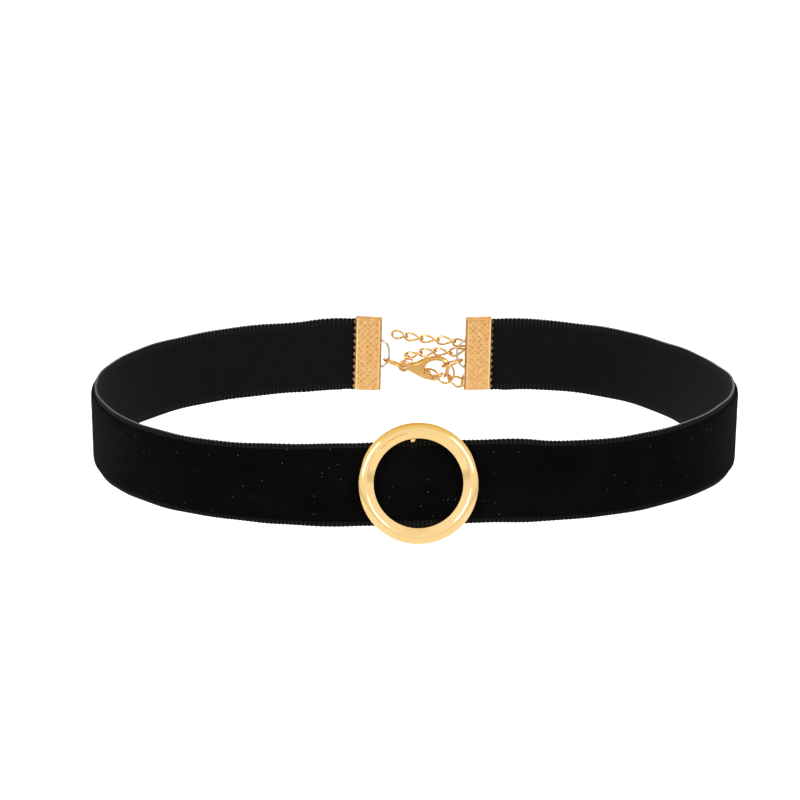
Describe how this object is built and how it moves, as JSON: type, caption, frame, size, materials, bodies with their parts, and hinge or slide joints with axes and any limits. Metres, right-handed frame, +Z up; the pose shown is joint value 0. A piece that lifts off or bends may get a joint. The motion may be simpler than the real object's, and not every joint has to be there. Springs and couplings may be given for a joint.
{
  "type": "choker necklace",
  "caption": "Closed velvet ribbon choker threaded through a round gold slide ring, with folded metal ends, a lobster clasp and a fine extender chain.",
  "frame": {"origin": "middle of the closed loop, at half the ribbon's height, where the neck's own axis passes", "axes": "+X to the wearer's left, the loop's long way; +Y from the slide ring at the throat to the clasp at the nape; +Z up the neck"},
  "size_m": [0.1268, 0.0986, 0.022],
  "materials": {
    "velvet": "black cut pile with woven selvages and a woven back",
    "polished_gold": "polished pale gold plate",
    "stamped_gold": "stamped peach gold plate with small pits",
    "clasp_gold": "tumbled gold plate",
    "chain_gold": "bright gold plated wire"
  },
  "bodies": {
    "root": {"velvet_ribbon": "velvet", "ring_buckle": "polished_gold", "crimp_left": "stamped_gold", "crimp_right": "stamped_gold", "jump_ring_left": "clasp_gold", "jump_ring_right": "clasp_gold", "clasp_body": "clasp_gold", "extender_chain": "chain_gold"},
    "lever": {"clasp_lever": "clasp_gold"}
  },
  "joints": [
    {"name": "lever_hinge", "type": "hinge", "parent": "root", "child": "lever", "pos_m": [0.00285, 0.0435, -0.0043], "axis": [0, -1, 0], "range_deg": [0, 20], "stiffness_Nm_per_rad": 0.001, "springref_deg": -17.19}
  ]
}
